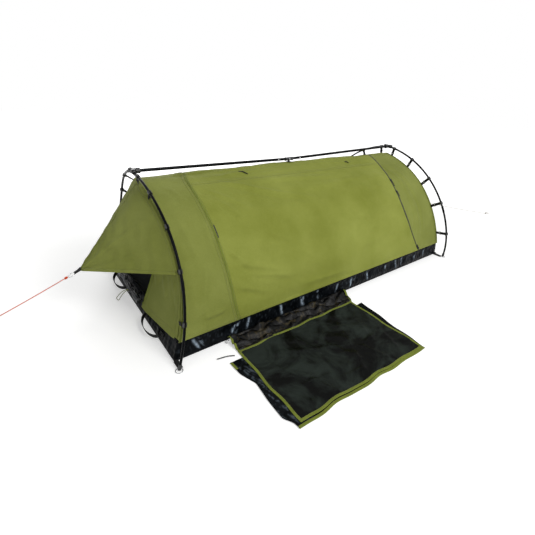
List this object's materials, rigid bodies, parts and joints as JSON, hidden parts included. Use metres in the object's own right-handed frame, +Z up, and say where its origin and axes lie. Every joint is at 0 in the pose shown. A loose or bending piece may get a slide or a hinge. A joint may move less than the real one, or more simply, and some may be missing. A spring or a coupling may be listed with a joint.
{
  "type": "swag bedroll",
  "caption": "Canvas dome swag on a waterproof tub base, hung from an outside pole frame, with peaked end hoods, guy ropes, zip doors and a boot mat.",
  "frame": {"origin": "centre of the tub's underside, on the ground", "axes": "+X along the bed to the foot end (the open front door is at -X), +Y to the far side (the boot mat is at -Y), +Z up"},
  "size_m": [4.2845, 1.7332, 0.7483],
  "materials": {
    "canvas": "olive ripstop polycotton canvas, matt",
    "pvc": "black reinforced PVC sheet, glossy with a fine weave under the coating",
    "mesh": "black fine insect mesh",
    "pole": "black coated alloy tube",
    "plastic": "black injection moulding",
    "webbing": "black woven webbing",
    "steel": "plated steel wire",
    "orange_cord": "braided orange cord",
    "grey_cord": "braided pale cord",
    "foam": "fabric-covered foam mattress"
  },
  "bodies": {
    "swag": {"canopy_front": "canvas", "canopy_rear": "canvas", "canopy_roof": "canvas", "corner_ring_front_far": "steel", "corner_ring_front_near": "steel", "corner_ring_rear_far": "steel", "corner_ring_rear_near": "steel", "far_screen": "mesh", "front_flap_far": "canvas", "front_flap_near": "canvas", "front_hood": "canvas", "front_hub": "plastic", "front_leg_far": "pole", "front_leg_near": "pole", "guy_knot_front": "orange_cord", "guy_loop_front": "orange_cord", "guy_loop_rear": "grey_cord", "guy_rope_front": "orange_cord", "guy_rope_rear": "grey_cord", "hanger_front_far_1": "webbing", "hanger_front_far_2": "webbing", "hanger_front_far_3": "webbing", "hanger_front_far_4": "webbing", "hanger_front_far_5": "webbing", "hanger_front_near_1": "webbing", "hanger_front_near_2": "webbing", "hanger_front_near_3": "webbing", "hanger_front_near_4": "webbing", "hanger_front_near_5": "webbing", "hanger_rear_far_1": "webbing", "hanger_rear_far_2": "webbing", "hanger_rear_far_3": "webbing", "hanger_rear_far_4": "webbing", "hanger_rear_far_5": "webbing", "hanger_rear_near_1": "webbing", "hanger_rear_near_2": "webbing", "hanger_rear_near_3": "webbing", "hanger_rear_near_4": "webbing", "hanger_rear_near_5": "webbing", "hood_ring_front": "steel", "hood_ring_rear": "steel", "mattress": "foam", "near_screen": "mesh", "rear_hood": "canvas", "rear_hub": "plastic", "rear_leg_far": "pole", "rear_leg_near": "pole", "rear_wall": "canvas", "ridge_ferrule": "plastic", "ridge_pole_front": "pole", "ridge_pole_rear": "pole", "screen_roll": "mesh", "tub_base": "pvc"},
    "near_door": {"near_door": "canvas"},
    "far_door": {"far_door": "canvas"},
    "boot_mat": {"mat_strip": "mesh", "mat_base": "pvc", "mat_cover": "pvc"},
    "handle_near": {"handle_near": "webbing"},
    "handle_far": {"handle_far": "webbing"}
  },
  "joints": [
    {"name": "near_door_lift", "type": "hinge", "parent": "swag", "child": "near_door", "pos_m": [-0.75312, -0.12753, 0.66759], "axis": [-0.9999, 0.0017, 0.0132], "range_deg": [0, 70]},
    {"name": "far_door_lift", "type": "hinge", "parent": "swag", "child": "far_door", "pos_m": [-0.75312, 0.12753, 0.66759], "axis": [0.9999, 0.0017, -0.0132], "range_deg": [0, 70]},
    {"name": "boot_mat_fold", "type": "hinge", "parent": "swag", "child": "boot_mat", "pos_m": [-0.4045, -0.5409, 0.022], "axis": [-1, 0, 0], "range_deg": [0, 80]},
    {"name": "handle_near_swing", "type": "hinge", "parent": "swag", "child": "handle_near", "pos_m": [-1.06351, -0.265, 0.04121], "axis": [0, 1, 0], "range_deg": [0, 75]},
    {"name": "handle_far_swing", "type": "hinge", "parent": "swag", "child": "handle_far", "pos_m": [-1.06351, 0.265, 0.04121], "axis": [0, 1, 0], "range_deg": [0, 60]}
  ]
}
